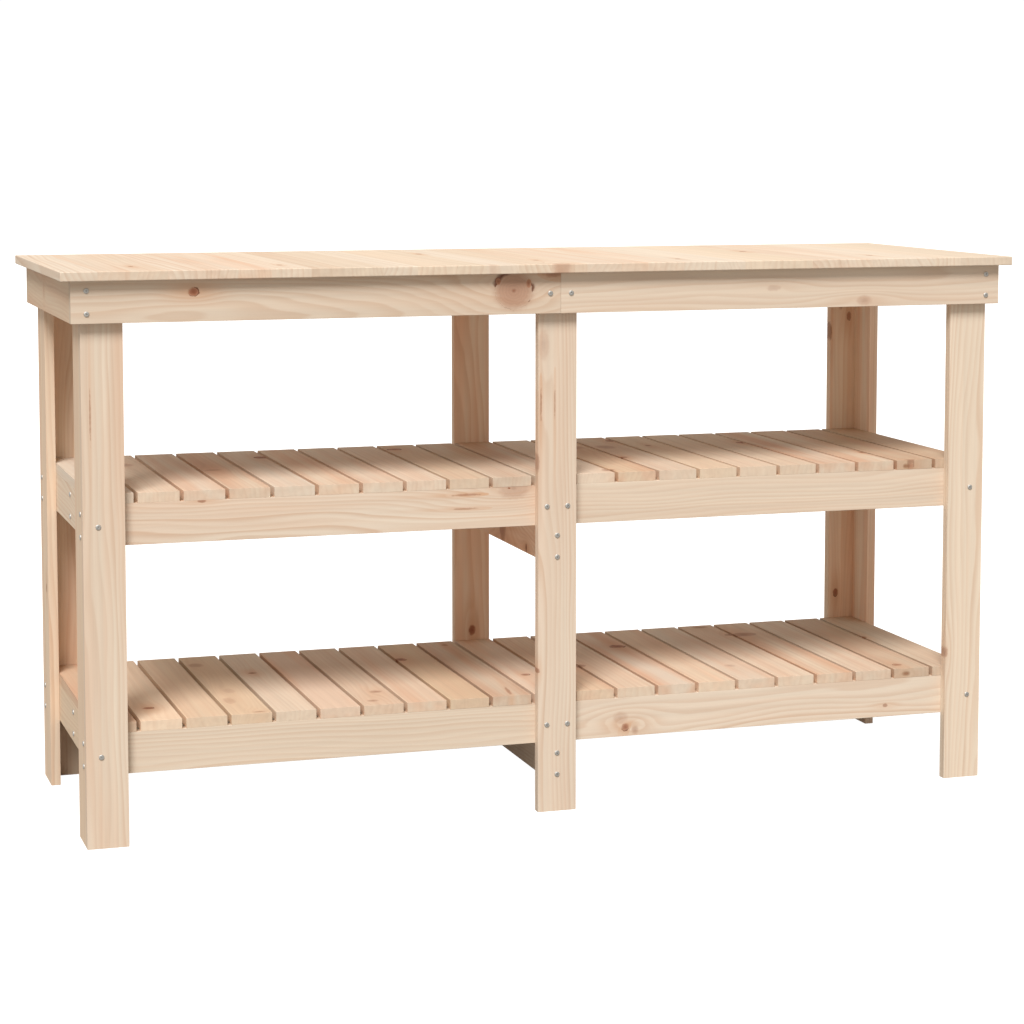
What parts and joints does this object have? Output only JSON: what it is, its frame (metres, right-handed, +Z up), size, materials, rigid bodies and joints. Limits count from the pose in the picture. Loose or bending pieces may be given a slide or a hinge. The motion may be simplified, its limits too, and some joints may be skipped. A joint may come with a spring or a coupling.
{
  "type": "potting bench",
  "caption": "Free-standing softwood potting bench with a flat worktop, board legs and two slatted shelves.",
  "frame": {"origin": "on the floor, under the middle of the worktop", "axes": "+Z up, +X along the bench's length to the viewer's right, -Y towards the front"},
  "size_m": [1.425, 0.5, 0.8],
  "materials": {
    "pine_board": "sanded, unfinished",
    "pine_panel": "sanded, unfinished",
    "zinc_screw": "bright zinc plate"
  },
  "bodies": {
    "root": {"front_apron_left": "pine_board", "front_apron_right": "pine_board", "front_left_leg_face_board": "pine_board", "front_left_leg_side_board": "pine_board", "front_middle_leg": "pine_board", "front_right_leg_face_board": "pine_board", "front_right_leg_side_board": "pine_board", "left_end_apron": "pine_board", "lower_centre_rail_left": "pine_board", "lower_centre_rail_right": "pine_board", "lower_cross_bearer": "pine_board", "lower_front_rail_left": "pine_board", "lower_front_rail_right": "pine_board", "lower_left_end_rail": "pine_board", "lower_rear_rail_left": "pine_board", "lower_rear_rail_right": "pine_board", "lower_right_end_rail": "pine_board", "lower_slat_01": "pine_board", "lower_slats_02_03": "pine_board", "lower_slats_04_05": "pine_board", "lower_slats_06_07": "pine_board", "lower_slats_08_09": "pine_board", "lower_slats_10_11": "pine_board", "lower_slats_12_13": "pine_board", "lower_slats_14_15": "pine_board", "lower_slats_16_17": "pine_board", "lower_slats_18_19": "pine_board", "lower_slats_20_21": "pine_board", "middle_centre_rail_left": "pine_board", "middle_centre_rail_right": "pine_board", "middle_cross_bearer": "pine_board", "middle_front_rail_left": "pine_board", "middle_front_rail_right": "pine_board", "middle_left_end_rail": "pine_board", "middle_rear_rail_left": "pine_board", "middle_rear_rail_right": "pine_board", "middle_right_end_rail": "pine_board", "middle_slat_01": "pine_board", "middle_slats_02_03": "pine_board", "middle_slats_04_05": "pine_board", "middle_slats_06_07": "pine_board", "middle_slats_08_09": "pine_board", "middle_slats_10_11": "pine_board", "middle_slats_12_13": "pine_board", "middle_slats_14_15": "pine_board", "middle_slats_16_17": "pine_board", "middle_slats_18_19": "pine_board", "middle_slats_20_21": "pine_board", "rear_apron_left": "pine_board", "rear_apron_right": "pine_board", "rear_left_leg_face_board": "pine_board", "rear_left_leg_side_board": "pine_board", "rear_middle_leg": "pine_board", "rear_right_leg_face_board": "pine_board", "rear_right_leg_side_board": "pine_board", "right_end_apron": "pine_board", "top_cross_bearer": "pine_board", "worktop_panel": "pine_panel"}
  },
  "joints": []
}
